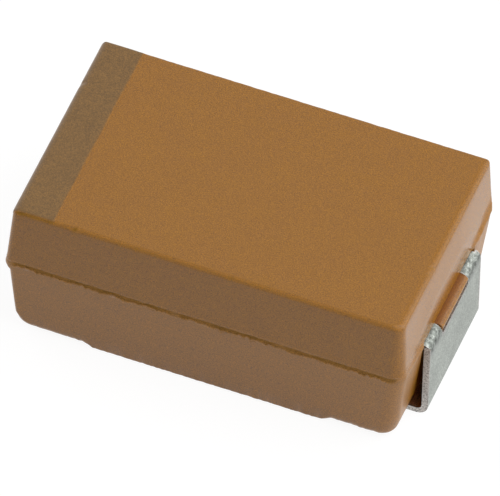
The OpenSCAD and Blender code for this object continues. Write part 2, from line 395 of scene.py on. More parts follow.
# How matte the resin is: edges, upright corners, ends, smear, parting line, lower half, its ends and tongues
EDGE_MATTE = 0.4
CORNER_MATTE = 2.0
END_MATTE = 0.16
SMEAR_MATTE = 0.65
SEAM_MATTE = 0.3
LOW_MATTE = 0.4
LOW_END_MATTE = 0.1
NOSE_MATTE = 0.1

# How dark a nick is coloured for its depth, a fin's tone, the faintest line and its loss at the anode
NICK_TONE = 80.0
FIN_TONE = 0.2
FAINTEST = 0.45
ANODE_LOSS = 0.7

# Ranges from none to full: shares of a normal, of a height, of a noise or of the lip
FACING_FRONT = (0.9, 1.0)
FACING_SIDE = (0.35, 0.95)
CORNER_TURN = (0.3, 0.9)
LINE_SHOWS = (-0.7, -0.4)
LIP_SHOWS = (0.1, 0.9)

# Ranges from none to full: distances
DARK_EDGE_SPAN = (2.75, 2.85)
NEAR_ANODE = (0.2, 0.12)
BESIDE_LEG = (-0.08, 0.1)
BESIDE_STRIP = (0.0, 0.05)
BESIDE_FOOT = (-0.13, 0.13)
BELOW_SMEAR = (0.06, -0.06)
SMEARED = (0.0, 0.1)
ABOVE_FLOOR = (0.45, 0.05)

# Round of each upright corner by its place in plan: top, parting line, floor, and its growth near the floor
CORNER_ROUNDS = {
    (1, 1): (0.07, 0.09, 0.08, 0.2),
    (-1, 1): (0.06, 0.08, 0.08, 0.2),
    (-1, -1): (0.12, 0.12, 0.03, 0.21),
    (1, -1): (0.18, 0.24, 0.26, 0.04),
}

# Flash below the parting line: where it starts to thin, where it stops thinning and what share is left
CATHODE_FADE = (0.09, 1.5, 0.5)
ANODE_FADE = (0.21, 0.28, 0.0)

# Painted shade and highlight on the tongue, at its root and round its nose: below 0 a darker, redder resin
# paints shade, above 0 the pale flash colour paints a highlight on its rim
ROOT_SHADE = -1.0
TONGUE_SHADE_AND_HIGHLIGHT = (-0.5, -0.4, -0.2, 0.1, 1.0, 1.0, 0.4, -0.8, -0.8)

# Nicks in the top edges: place in plan, half width and depth
NICKS = (
    (-3.40, -2.13, 0.07, 0.010),
    (-2.42, -2.13, 0.04, 0.016),
    (3.50, -0.53, 0.028, 0.008),
    (3.50, -0.68, 0.024, 0.006),
    (-1.3, -2.13, 0.03, 0.008),
    (0.4, -2.13, 0.05, 0.006),
    (-3.54, 1.1, 0.04, 0.014),
)


def upper_lean(c, nx, ny):
    """Slope of the upper half's wall for a plan normal."""
    extra = c.cathode_lean * max(nx, 0.0) ** 2 + c.front_lean * min(ny, 0.0) ** 2
    return math.tan(c.upper_draft) + extra / (c.height - c.part_height)


def wall_inset(c, t, nx, ny, y, up):
    """How far one side of the upper half leans in at a height above the parting line.

    Over a tongue the wall starts upright.
    """
    rise = c.height - c.part_height
    upright = UPRIGHT * smooth(c.width / 2 - c.corner, t.window / 2 - UPRIGHT_MARGIN, abs(y)) * abs(nx)
    return upper_lean(c, nx, ny) * rise * max(up - upright, 0.0) / (rise - upright)


def edge_point(c, nx, ny, share):
    """A place on the round of a top edge: its inset, its height and how far it lies in from the wall."""
    rise = c.height - c.part_height
    lean = upper_lean(c, nx, ny)
    if nx > 0:
        over, drop = c.cathode_over, c.cathode_round
    elif nx < 0:
        over = drop = c.anode_round
    else:
        over = drop = c.back_round if ny > 0 else c.front_round
    turn = math.atan2(over, drop * lean)
    deep = lean * (rise - drop * (1.0 - math.cos(turn))) + over * math.sin(turn)
    inset = deep - over * math.sin(turn * share)
    up = rise - drop * (1.0 - math.cos(turn * share))
    return inset, up, inset - lean * up


def top_inset(c, nx, ny):
    """Distance from the parting line's outline to the flat of the top on one side."""
    return edge_point(c, nx, ny, 0.0)[0]


def bulge_share(drop, fade):
    """How much of the flash at an end is left at a distance below the parting line."""
    start, stop, kept = fade
    return mix(1.0, kept, smooth(start, stop, drop))


class Station:
    """A place round the case, with what the rows of its upright section share.

    It is given by how far it lies towards the corners in x and y, and by its plan normal.
    """

    def __init__(self, c, t, kx, ky, nx, ny):
        self.c = c
        self.t = t
        self.kx, self.ky, self.nx, self.ny = kx, ky, nx, ny
        self.side_x = 1 if kx > 0 else -1
        self.side_y = 1 if ky > 0 else -1
        self.end_share = nx * nx
        self.side_share = ny * ny
        rounds = CORNER_ROUNDS[(self.side_x, self.side_y)]
        self.top_corner, self.mid_corner, self.floor_corner, self.spread = rounds
        self.upper = (c.length / 2, c.width / 2)
        self.lower = (c.length / 2 - c.end_step, c.width / 2 - c.side_step)
        self.foot = self.at(self.upper, 0.0, self.mid_corner, 0.0, c.part_height)
        self.step = c.end_step * self.end_share + c.side_step * self.side_share
        self.dull = LOW_MATTE + LOW_END_MATTE * self.end_share

        # Flash at the ends stands out beside the legs, and smears the far corner of the cathode end
        off = abs(self.foot.y)
        self.beside_leg = smooth(*BESIDE_LEG, off - t.neck / 2)
        to_corner = smooth(t.width / 2, c.width / 2 - c.corner, off)
        fin = mix(c.cathode_fin, c.corner_fin, to_corner) if nx > 0 else c.anode_fin
        self.fin = (fin + uneven("fin", self.foot)) * self.beside_leg
        self.fade = CATHODE_FADE if nx > 0 else ANODE_FADE
        to_back = smooth(t.neck / 2, c.width / 2 - c.corner, self.foot.y)
        self.smear = to_back * uneven("smear", self.foot) if nx > 0 else 0.0

    def at(self, half, inset, corner, push, z):
        """A place at a height, from half sizes in plan, their inset, the corner's round and a push out."""
        in_x, in_y = inset if isinstance(inset, tuple) else (inset, inset)
        x = self.kx * (half[0] - in_x - corner) + self.nx * (corner + push) - self.c.shift
        y = self.ky * (half[1] - in_y - corner) + self.ny * (corner + push)
        return Vector((x, y, z))


def marks_along(half, extras=()):
    """Places along one straight side as parts of its half length, even ones with the given ones added."""
    count = round(2 * half / STATION_GAP)
    even = [half * (2 * i / count - 1) for i in range(1, count)]
    kept = [m for m in even if all(abs(m - e) > STATION_GAP / 3 for e in extras)]
    return [m / half for m in sorted(kept + list(extras))]


def case_stations(c, t):
    """Stations round the case in four sides and four corners, counter-clockwise from the cathode end."""
    edges = [turn * (t.window / 2 - margin) for turn in (-1, 1) for margin in (0.0, WINDOW_MARGIN)]
    ends = marks_along(c.width / 2 - c.corner, edges)
    sides = marks_along(c.length / 2 - c.corner)
    groups = []
    for quarter, (x, y) in enumerate(((1, 0), (0, 1), (-1, 0), (0, -1))):
        along = sides if quarter % 2 else ends
        groups.append([Station(c, t, x - y * m, y + x * m, x, y) for m in along])
        turns = [QUARTER * (quarter + i / CORNER_STEPS) for i in range(CORNER_STEPS + 1)]
        groups.append([Station(c, t, x - y, y + x, math.cos(a), math.sin(a)) for a in turns])
    return groups


def top_edge(s):
    """Rows from the flat of the top over the round of its edge, with a few nicks."""
    c = s.c
    flat = (top_inset(c, s.side_x, 0) + FLAT_MARGIN, top_inset(c, 0, s.side_y) + FLAT_MARGIN)
    rows = [(s.at(s.upper, flat, LEAST_CORNER, 0.0, c.height), 0.0, 0.0, 0.0)]
    nick = 0.0
    for x, y, wide, deepest in NICKS:
        nick += deepest * math.exp(-((s.foot.x - x) ** 2 + (s.foot.y - y) ** 2) / wide ** 2)
    worn = max(uneven("worn edge", s.foot), 0.0)
    # Painted shade: the front edge at the anode end, bare of ink, gets a dark line where its reflection is
    # lost
    bare = smooth(*FACING_FRONT, -s.ny) * smooth(*DARK_EDGE_SPAN, -s.foot.x) * uneven("painted dark edge", s.foot)
    for i in range(EDGE_STEPS + 1):
        share = i / EDGE_STEPS
        amid = math.sin(math.pi * share)
        in_x, up_x, past_x = edge_point(c, s.side_x, 0, share)
        in_y, up_y, past_y = edge_point(c, 0, s.side_y, share)
        corner = max(s.top_corner - mix(past_x, past_y, s.side_share), LEAST_CORNER)
        dent = (nick + worn) * amid
        inset = (in_x + dent * s.end_share, in_y + dent * s.side_share)
        place = s.at(s.upper, inset, corner, 0.0, c.part_height + mix(up_x, up_y, s.side_share) - dent)
        # Nicks are coloured darker, and the front edge at the anode end takes painted shade
        tone = min(1.0, (NICK_TONE * nick + bare) * amid ** 2)
        rows.append((place, tone, 0.0, (EDGE_MATTE + CORNER_MATTE * s.end_share * s.side_share) * amid))
    return rows


def upper_wall(s):
    """Rows down the upper wall."""
    c = s.c
    rise = c.height - c.part_height
    rows = []
    for up in UPPER_WALL:
        corner = mix(s.mid_corner, s.top_corner, smooth(*CORNER_TURN, up / rise))
        sides = ((s.side_x, 0), (0, s.side_y))
        inset = tuple(wall_inset(c, s.t, nx, ny, s.foot.y, up) for nx, ny in sides)
        matte = (END_MATTE + SMEAR_MATTE * smooth(*BELOW_SMEAR, up - s.smear)) * s.end_share
        rows.append((s.at(s.upper, inset, corner, 0.0, c.part_height + up), 0.0, 0.0, matte))
    return rows


def parting_line(s):
    """Rows down the parting line: a groove darkened with painted shade over a lip on the long sides, a fin of
    flash at the ends.
    """
    c = s.c
    lost = ANODE_LOSS * smooth(*NEAR_ANODE, s.foot.x + c.shift + c.length / 2)
    faint = mix(FAINTEST, 1.0, smooth(*LINE_SHOWS, uneven("line tone", s.foot)))
    line = smooth(*FACING_SIDE, s.side_share) * faint * (1.0 - lost)
    line_z = c.part_height + s.side_share * (uneven("line", s.foot) + c.groove_rise)
    groove = line * c.groove_depth * uneven("groove depth", s.foot)
    tall = c.groove_height * uneven("groove height", s.foot)
    lip = min(c.lip * uneven("lip", s.foot), c.side_step)
    fin = s.fin
    fin_low = c.fin_height * uneven("fin height", s.foot)
    last_push = mix(-s.step, fin, bulge_share(fin_low, s.fade))
    flashed = s.side_share * smooth(*LIP_SHOWS, lip / c.lip) + FIN_TONE * s.end_share * s.beside_leg
    matte = SEAM_MATTE * mix(s.beside_leg, 1.0, s.side_share)
    matte += SMEAR_MATTE * s.end_share * smooth(*SMEARED, s.smear)

    # Each row: height and push on a long side, height and push at an end, tones of painted groove shade and
    # of flash
    seam = (
        (0.014, 0.0, 0.5, 0.0, 0.0, 0.0),
        (0.004, -0.002, 0.25, 0.05 * fin, 0.1, 0.0),
        (-0.001, -0.7 * groove, 0.0, 0.22 * fin, 0.8, 0.2),
        (-0.4 * tall, -groove, -0.25, 0.5 * fin, 1.0, 0.8),
        (-0.9 * tall, -0.8 * groove, -0.45, 0.78 * fin, 0.9, 1.0),
        (-tall - 0.005, lip * 0.7 - s.step, -0.65, 0.95 * fin, 0.2, 0.9),
        (-tall - 0.028, lip - s.step, -0.83, fin, 0.0, 0.8),
        (-tall - 0.060, lip * 0.5 - s.step, -1.0, last_push, 0.0, 0.4),
    )
    rows = []
    for side_z, side_push, end_z, end_push, dark, pale in seam:
        z = line_z + mix(end_z * fin_low, side_z, s.side_share)
        push = mix(end_push, side_push, s.side_share)
        rows.append((s.at(s.upper, 0.0, s.mid_corner, push, z), dark * line, pale * flashed, matte))
    return rows


def low_corner(s, z):
    """Round of the upright corner at a height below the parting line."""
    share = (s.c.part_height - z) / (s.c.part_height - s.c.stand_off)
    return mix(s.mid_corner, s.floor_corner, share) + s.spread * smooth(*ABOVE_FLOOR, z)


def low_place(s, z):
    """A place on the lower wall, which bulges under the flash at the ends."""
    drop = s.c.part_height - z
    beside_strip = smooth(*BESIDE_STRIP, abs(s.foot.y) - s.t.width / 2)
    bulge = s.end_share * beside_strip * (s.fin + s.step) * bulge_share(drop, s.fade)
    return s.at(s.lower, drop * math.tan(s.c.lower_draft), low_corner(s, z), bulge, z)


def lower_wall(s):
    """Rows down the lower wall, with a tongue of resin in each terminal's window."""
    t = s.t
    radius = t.tongue / 2
    tip = t.end - s.upper[0] + s.nx * s.c.shift
    in_window = abs(s.nx) == 1 and abs(s.foot.y) < t.window / 2 - WINDOW_MARGIN / 2
    # On a tongue the flash layer holds painted shade below 0 and a painted highlight on the rim above 0
    rows = [
        (low_place(s, t.lead_top + ROW_ABOVE), 0.0, 0.0, s.dull),
        (low_place(s, t.lead_top), 0.0, ROOT_SHADE if in_window else 0.0, s.dull),
    ]
    for i in range(NOSE_STEPS + 1):
        a = QUARTER - math.pi * i / NOSE_STEPS
        z = t.lead_top - radius + radius * math.sin(a)
        if in_window:
            place = s.at(s.upper, 0.0, s.mid_corner, tip - radius + radius * math.cos(a), z)
            place.z += uneven("nose", s.foot)
            rows.append((place, 0.0, TONGUE_SHADE_AND_HIGHLIGHT[i], NOSE_MATTE))
        else:
            rows.append((low_place(s, z - ROW_BESIDE * (i + 1)), 0.0, 0.0, s.dull))
    for z in (t.lead_top - t.tongue - ROW_BELOW, *LOWER_WALL):
        rows.append((low_place(s, z), 0.0, 0.0, s.dull))
    return rows


def floor_edge(s):
    """Rows over the edge of the floor, which is rounder beside the feet."""
    c = s.c
    fall = math.tan(c.lower_draft)
    skew, foot_round = (c.step_skew, c.cathode_floor) if s.foot.x > 0 else (0.0, c.anode_floor)
    from_middle = abs(s.foot.x + c.shift) + uneven("floor step", s.foot) - skew
    beside = smooth(*BESIDE_FOOT, from_middle - c.step_start)
    floor_z = c.stand_off + c.end_rise * beside
    edge = mix(c.floor_round, foot_round, beside) * uneven("floor round", s.foot)
    ragged = uneven("floor edge", s.foot) * s.side_share
    deep = edge / math.cos(c.lower_draft) + (c.part_height - floor_z - edge) * fall
    rows = []
    for i in range(EDGE_STEPS + 1):
        a = mix(c.lower_draft, QUARTER, i / EDGE_STEPS)
        inset = deep - edge * math.cos(a)
        z = floor_z + edge - edge * math.sin(a)
        corner = max(low_corner(s, z) - (inset - (c.part_height - z) * fall), LEAST_CORNER)
        rows.append((s.at(s.lower, inset, corner, ragged * math.sin(2 * a), z), 0.0, 0.0, s.dull))
    rows.append((s.at(s.lower, deep + FLAT_MARGIN, corner, 0.0, floor_z), 0.0, 0.0, s.dull))
    return rows


def case_section(s):
    """One upright section of the case, from the flat of the top to the flat of the floor.

    Each row holds its place, how much of the seam colour it has (painted shade in the parting groove and on
    the front edge at the anode end, and darker nicks), how much flash there is (on a tongue, painted shade
    below 0 and a painted highlight on its rim) and how matte the surface is.
    """
    return top_edge(s) + upper_wall(s) + parting_line(s) + lower_wall(s) + floor_edge(s)


def case_loft(c, t):
    """The whole outside of the case as one closed bmesh."""
    bm = bmesh.new()
    # The groove layer holds painted shade in the parting groove and on the front edge at the anode end, and
    # the darkening of the nicks; the flash layer also holds the tongues' painted shade and highlight
    layers = [bm.verts.layers.float.new(name) for name in ("groove", "flash", "matte")]
    columns = []
    for group in case_stations(c, t):
        columns.append([])
        for station in group:
            column = []
            for place, *tones in case_section(station):
                vert = bm.verts.new(place)
                for layer, tone in zip(layers, tones):
                    vert[layer] = tone
                column.append(vert)
            columns[-1].append(column)
    ring = [column for made in columns for column in made]
    for column, after in zip(ring, ring[1:] + ring[:1]):
        for j in range(len(column) - 1):
            bm.faces.new((column[j], column[j + 1], after[j + 1], after[j]))
    bm.faces.new([column[0] for column in ring])

    # The floor is bridged from front to back, because it rises a little at both ends
    right, right_back, back, left_back, left, left_front, front, right_front = columns
    pairs = list(zip(front, reversed(back)))
    for (front_a, back_a), (front_b, back_b) in zip(pairs, pairs[1:]):
        bm.faces.new((front_a[-1], back_a[-1], back_b[-1], front_b[-1]))
    for loop in ([front[-1]] + right_front + right + right_back + [back[0]],
                 [back[-1]] + left_back + left + left_front + [front[0]]):
        bm.faces.new([column[-1] for column in reversed(loop)])
    return bm


def pocket_block(c, t):
    """The two foot pockets as one cutter, which reaches past both ends."""
    bm = bmesh.new()
    length = t.end + POCKET_PAST_END - c.pocket_start
    for turn in (-1, 1):
        made = bmesh.ops.create_cube(bm, size=1.0)
        bmesh.ops.scale(bm, vec=(length, c.pocket_width, 2 * c.pocket_roof), verts=made["verts"])
        bmesh.ops.translate(bm, vec=(turn * (c.pocket_start + length / 2), 0.0, 0.0), verts=made["verts"])
    return bm


class CHIP_OT_mould_case(Operator):
    """Build the moulded case with its parting line, tongues and foot pockets"""

    bl_idname = "chip_capacitor.mould_case"
    bl_label = "Mould case"

    def execute(self, context):
        c = in_mm(context.scene.chip_case)
        t = in_mm(context.scene.chip_terminals)
        holder = new_object("case_blank", mesh_from(case_loft(c, t), "case_blank"))
        cutter = new_object("case_cutter", mesh_from(pocket_block(c, t), "case_cutter"))
        cut = holder.modifiers.new("Pockets", "BOOLEAN")
        cut.operation = "DIFFERENCE"
        cut.solver = "EXACT"
        cut.object = cutter
        bm = bmesh.new()
        bm.from_mesh(evaluated(holder, "case_cut"))
        bpy.data.objects.remove(cutter)
        cleaned(bm)
        mesh = mesh_from(bm, "case_moulding")
        material = resin_material(context.scene.chip_finishes)
        finished_piece("case_moulding", mesh, material, sharp=38, replaced=["moulded_case"])
        return {"FINISHED"}


# Folded terminals

# Gaps between points of a strip in its bends and elsewhere, and the least gap on its outline
FINE = 0.024
COARSE = 0.08
LEAST_GAP = 0.2 * FINE

# Points within the outline: shift of rows to either side and distance from the outline, in gaps
STAGGER = 0.25
RIM_CLEAR = 0.45

# Distance within which two points of the blank are one
NET_CLOSE = 1e-7

# Rounds of the blank's corners, and the steps of each
FILLET_STEPS = 6
END_CORNER = 0.05
EAR_CORNER = 0.012
TAB_CORNER = 0.03

# Where the strain of the tin sets in and ends: before and after the top bend, and about the foot's bend
STRAIN_IN = (-0.05, 0.03)
STRAIN_OUT = (-0.10, -0.01)
FOOT_STRAIN = (-0.05, 0.05)

# How much strain the foot's bend has, and how much it takes to crumple the tin
FOOT_STRAIN_SHARE = 0.35
CRUMPLES = 0.4

Run = namedtuple("Run", "start length place heading turn middle")


def ahead(heading):
    """The way along a strip."""
    return Vector((math.cos(heading), math.sin(heading)))


def above(heading):
    """The way out of a strip's upper face."""
    return Vector((-math.sin(heading), math.cos(heading)))


def turned(run, swept):
    """A place on a bend after part of its turn; a positive turn goes down."""
    arm = run.turn * run.middle
    return run.place - arm * above(run.heading) + arm * above(run.heading - run.turn * swept)


class StripPath:
    """Middle line of a folded strip, as straight and turned runs in the XZ plane."""

    def __init__(self, x, z, sheet, moves):
        self.runs = []
        place = Vector((x, z))
        heading = 0.0
        s = 0.0
        for length, turn, inner in moves:
            self.runs.append(Run(s, length, place, heading, 0, 0.0))
            s += length
            place = place + length * ahead(heading)
            if turn:
                middle = inner + sheet / 2
                bend = Run(s, middle * QUARTER, place, heading, turn, middle)
                self.runs.append(bend)
                s += bend.length
                place = turned(bend, QUARTER)
                heading -= turn * QUARTER
        self.length = s
        self.top_bend, self.wall, self.foot_bend, self.foot = self.runs[-4:]

    def at(self, s):
        """Place and upper normal at a distance along the strip."""
        run = [r for r in self.runs if r.start <= s + TINY][-1]
        past = s - run.start
        if not run.turn:
            return run.place + past * ahead(run.heading), above(run.heading)
        swept = past / run.middle
        return turned(run, swept), above(run.heading - run.turn * swept)

    def rows(self):
        """Distances along the strip at which it gets points, close together in the bends."""
        rows = []
        for run in self.runs:
            count = max(1, math.ceil(run.length / (FINE if run.turn else COARSE)))
            rows += [run.start + run.length * i / count for i in range(count)]
        return rows + [self.length]

    def gap(self, s):
        """Distance between points at a place along the strip."""
        near = any(r.turn and r.start - FINE < s < r.start + r.length + FINE for r in self.runs)
        return FINE if near else COARSE


def filleted(points):
    """A loop of points from corners, each with its place and its round."""
    loop = []
    for i, (x, y, r) in enumerate(points):
        here = Vector((x, y))
        if not r:
            loop.append(here)
            continue
        before = (Vector(points[i - 1][:2]) - here).normalized()
        after = (Vector(points[(i + 1) % len(points)][:2]) - here).normalized()
        centre = here + r * (before + after)
        for k in range(FILLET_STEPS + 1):
            a = QUARTER * k / FILLET_STEPS
            loop.append(centre - r * (after * math.cos(a) + before * math.sin(a)))
    return loop


def resampled(loop, path, rows):
    """A loop with points added where it crosses a row, and elsewhere at the row's gap."""
    result = []
    for p, q in zip(loop, loop[1:] + loop[:1]):
        reach = (q - p).length
        if abs(q.x - p.x) > abs(q.y - p.y):
            cuts = [(s - p.x) / (q.x - p.x) for s in rows]
        else:
            count = max(1, math.ceil(reach / path.gap((p.x + q.x) / 2)))
            cuts = [k / count for k in range(1, count)]
        clear = LEAST_GAP / max(reach, TINY)
        result += [p] + [p.lerp(q, k) for k in sorted(cuts) if clear < k < 1 - clear]
    return result


def strip_blank(path, t, start_corners):
    """Outline and window of the flat strip, as loops of its length and its width."""
    leg = t.neck / 2
    half = t.width / 2
    bent = path.wall.start
    ear = bent - t.ear
    shoulder = [(ear, half, EAR_CORNER), (path.length, half, END_CORNER)]
    plain = start_corners + [(ear, leg, 0.0)] + shoulder
    slit = [(bent, leg, 0.0), (bent, leg + t.slit, 0.0), (ear, leg + t.slit, 0.0)]
    torn = start_corners + slit + shoulder
    outline = filleted(plain + [(x, -y, r) for x, y, r in reversed(torn)])
    window_start = path.top_bend.start - (t.end - t.sheet - t.top_bend - t.window_start)
    window_end = bent + t.window_drop - t.top_bend
    pane = t.window / 2
    window = filleted([
        (window_start, pane, 0.0),
        (window_end, pane, t.window_round),
        (window_end, -pane, t.window_round),
        (window_start, -pane, 0.0),
    ])
    return outline, window


def inside(point, loop):
    """Whether a point lies within a loop."""
    hit = False
    for i, p in enumerate(loop):
        q = loop[i - 1]
        if (p.y > point.y) != (q.y > point.y):
            if point.x < p.x + (q.x - p.x) * (point.y - p.y) / (q.y - p.y):
                hit = not hit
    return hit


def blank_net(path, t, start_corners):
    """Points and faces of the flat strip."""
    rows = path.rows()
    outline, window = strip_blank(path, t, start_corners)
    points = []
    edges = []
    for loop in (outline, window):
        first = len(points)
        points += resampled(loop, path, rows)
        numbers = list(range(first, len(points)))
        edges += list(zip(numbers, numbers[1:] + numbers[:1]))
    rim = kdtree.KDTree(len(points))
    for i, p in enumerate(points):
        rim.insert((p.x, p.y, 0.0), i)
    rim.balance()
    for number, s in enumerate(rows):
        gap = path.gap(s)
        count = math.floor(t.width / gap)
        for k in range(count + 1):
            p = Vector((s, (k - count / 2 + STAGGER * (-1) ** number) * gap))
            off_rim = rim.find((p.x, p.y, 0.0))[2] > RIM_CLEAR * gap
            if off_rim and inside(p, outline) and not inside(p, window):
                points.append(p)
    flat, _, faces, _, _, _ = geometry.delaunay_2d_cdt(points, edges, [], 1, NET_CLOSE)
    kept = []
    for face in faces:
        centre = sum((flat[i] for i in face), Vector((0.0, 0.0))) / len(face)
        if inside(centre, outline) and not inside(centre, window):
            kept.append(face)
    return flat, kept


def strip_mesh(path, t, start_corners):
    """A folded strip of sheet as a closed bmesh, from its flat blank."""
    flat, faces = blank_net(path, t, start_corners)
    bm = bmesh.new()
    bend_layer, cut_layer, inner_layer = [bm.verts.layers.float.new(key) for key in ("bend", "cut", "inner")]
    wall_layer = bm.faces.layers.int.new("wall")
    bent = path.wall.start

    # Each point of the flat blank gives one on the strip's upper face and one on its lower face
    sheets = ([], [])
    for p in flat:
        place, normal = path.at(p.x)
        if -p.y > (t.neck + t.slit) / 2 and bent - 2 * t.ear < p.x < bent:
            place, normal = path.at(bent)
            place = place + Vector((0.0, bent - p.x))
        strained = smooth(*STRAIN_IN, p.x - path.top_bend.start) * smooth(*STRAIN_OUT, bent - p.x)
        softly = smooth(*FOOT_STRAIN, p.x - path.foot_bend.start)
        softly *= smooth(*FOOT_STRAIN, path.foot.start - p.x)
        for sheet, side in zip(sheets, (0.5, -0.5)):
            spot = place + normal * (side * t.sheet)
            vert = bm.verts.new((spot.x, p.y, spot.y))
            vert[bend_layer] = max(strained, FOOT_STRAIN_SHARE * softly)
            # The lower face is marked inner, where the tin's material paints a reflection of the resin
            vert[inner_layer] = 1.0 if side < 0 else 0.0
            sheet.append(vert)

    # Both faces are joined along the edges that only one triangle has
    upper, lower = sheets
    rims = {}
    for face in faces:
        bm.faces.new([upper[i] for i in face])
        bm.faces.new([lower[i] for i in reversed(face)])
        for a, b in zip(face, face[1:] + face[:1]):
            key = frozenset((a, b))
            rims[key] = None if key in rims else (a, b)
    for a, b in filter(None, rims.values()):
        cut_face = bm.faces.new((upper[b], upper[a], lower[a], lower[b]))
        cut_face[wall_layer] = 1
    bmesh.ops.delete(bm, geom=[v for v in bm.verts if not v.link_faces], context="VERTS")
    bmesh.ops.recalc_face_normals(bm, faces=bm.faces)
    sharp = [e for e in bm.edges if len({f[wall_layer] for f in e.link_faces}) == 2]
    bmesh.ops.bevel(
        bm, geom=sharp, offset=t.edge_round, offset_type="OFFSET", segments=3, profile=0.5, affect="EDGES",
        clamp_overlap=True,
    )
    cleaned(bm)
    bm.normal_update()
    for vert in bm.verts:
        if any(f[wall_layer] for f in vert.link_faces):
            vert[cut_layer] = 1.0
            vert[inner_layer] = 0.0
    bm.faces.layers.int.remove(wall_layer)

    # The tin on the tight top bend is crumpled
    for vert in bm.verts:
        if vert[bend_layer] > CRUMPLES:
            vert.co -= vert.normal * (t.strain * abs(uneven("crumpled tin", vert.co)) * vert[bend_layer])
    return bm


def outside_moves(t):
    """The wall and the foot, which both strips have."""
    wall = t.lead_top - 2 * t.sheet - t.top_bend - t.foot_bend
    return [(wall, 1, t.foot_bend), (t.foot - t.foot_bend - t.sheet, 0, 0.0)]


def cathode_path(t):
    """The cathode strip: a shelf under the element, a riser, the lead, the wall and the foot."""
    riser = t.lead_top - t.sheet - t.shelf_top - 2 * t.riser_bend
    riser_x = t.shelf_start + t.shelf + t.riser_bend + t.sheet
    lead = t.end - t.sheet - t.top_bend - riser_x - t.riser_bend
    moves = [(t.shelf, -1, t.riser_bend), (riser, 1, t.riser_bend), (lead, 1, t.top_bend)]
    return StripPath(t.shelf_start, t.shelf_top - t.sheet / 2, t.sheet, moves + outside_moves(t))


def anode_path(t):
    """The anode strip: a weld tab, the lead, the wall and the foot."""
    moves = [(t.end - t.sheet - t.top_bend - t.tab_start, 1, t.top_bend)]
    return StripPath(t.tab_start, t.lead_top - t.sheet / 2, t.sheet, moves + outside_moves(t))


class CHIP_OT_fold_terminals(Operator):
    """Fold both terminals from their stamped blanks"""

    bl_idname = "chip_capacitor.fold_terminals"
    bl_label = "Fold terminals"

    def execute(self, context):
        t = in_mm(context.scene.chip_terminals)
        material = tin_material(context.scene.chip_finishes)
        leg = t.neck / 2
        cathode = strip_mesh(cathode_path(t), t, [(0.0, leg, END_CORNER)])
        mesh = mesh_from(cathode, "cathode_strip")
        finished_piece(
            "cathode_strip", mesh, material, sharp=16, replaced=["cathode_terminal"]
        )
        tab = t.tab_end - t.tab_start
        half = t.tab_width / 2
        corners = [(0.0, half, END_CORNER), (tab, half, TAB_CORNER), (tab, leg, TAB_CORNER)]
        anode = strip_mesh(anode_path(t), t, corners)
        bmesh.ops.scale(anode, vec=(-1.0, 1.0, 1.0), verts=anode.verts)
        bmesh.ops.reverse_faces(anode, faces=anode.faces)
        mesh = mesh_from(anode, "anode_strip")
        finished_piece("anode_strip", mesh, material, sharp=16, replaced=["anode_terminal"])
        return {"FINISHED"}


# Polarity bar

# How far the ink goes over the rounds of the top's edges, and in how many steps
BAR_OVER_ANODE = (math.radians(80), 8)
BAR_OVER_FRONT = (math.radians(30), 4)
BAR_OVER_BACK = (math.radians(56), 5)

# Lines of the ink's grid across the bar, on its flat and in its fading edge, and the gap between the two
BAR_COLUMNS = 150
BAR_ROWS = 6
FADE_ROWS = 6
FADE_GAP = 0.02

# How far round an edge the ink may reach, how much less at a corner, and where it sets in at the front
BAR_LIMIT = 0.985
BAR_CORNER_LOSS = 0.25
BAR_SETS_IN = (0.0, 0.03)

# Heights of the ink's upper face where it is thin and full, and of its lower face, in thicknesses
INK_THIN = 0.1
INK_FULL = 0.6
INK_UNDER = -0.3

# Height above the top from which places on the case are looked for
LOOK_FROM = 1.0
DOWN = Vector((0.0, 0.0, -1.0))


def over_round(radius, arc, steps):
    """Distances past a flat's edge of places down the round beside it."""
    return [radius * math.sin(arc * i / steps) for i in range(1, steps + 1)]


def bar_lines(c, m, flat_front, flat_back):
    """Lines of the bar's grid: distances from the flat's anode edge, and places from front to back."""
    over = [-d for d in reversed(over_round(c.anode_round, *BAR_OVER_ANODE))]
    fading = [m.bar_width - m.fade * (1 - i / FADE_ROWS) for i in range(FADE_ROWS + 1)]
    even = [m.bar_width * i / BAR_ROWS for i in range(BAR_ROWS)]
    flat = [x for x in even if x < fading[0] - FADE_GAP]
    columns = [-flat_front - d for d in reversed(over_round(c.front_round, *BAR_OVER_FRONT))]
    columns += [mix(-flat_front, flat_back, i / BAR_COLUMNS) for i in range(BAR_COLUMNS + 1)]
    columns += [flat_back + d for d in over_round(c.back_round, *BAR_OVER_BACK)]
    return over + flat + fading, columns


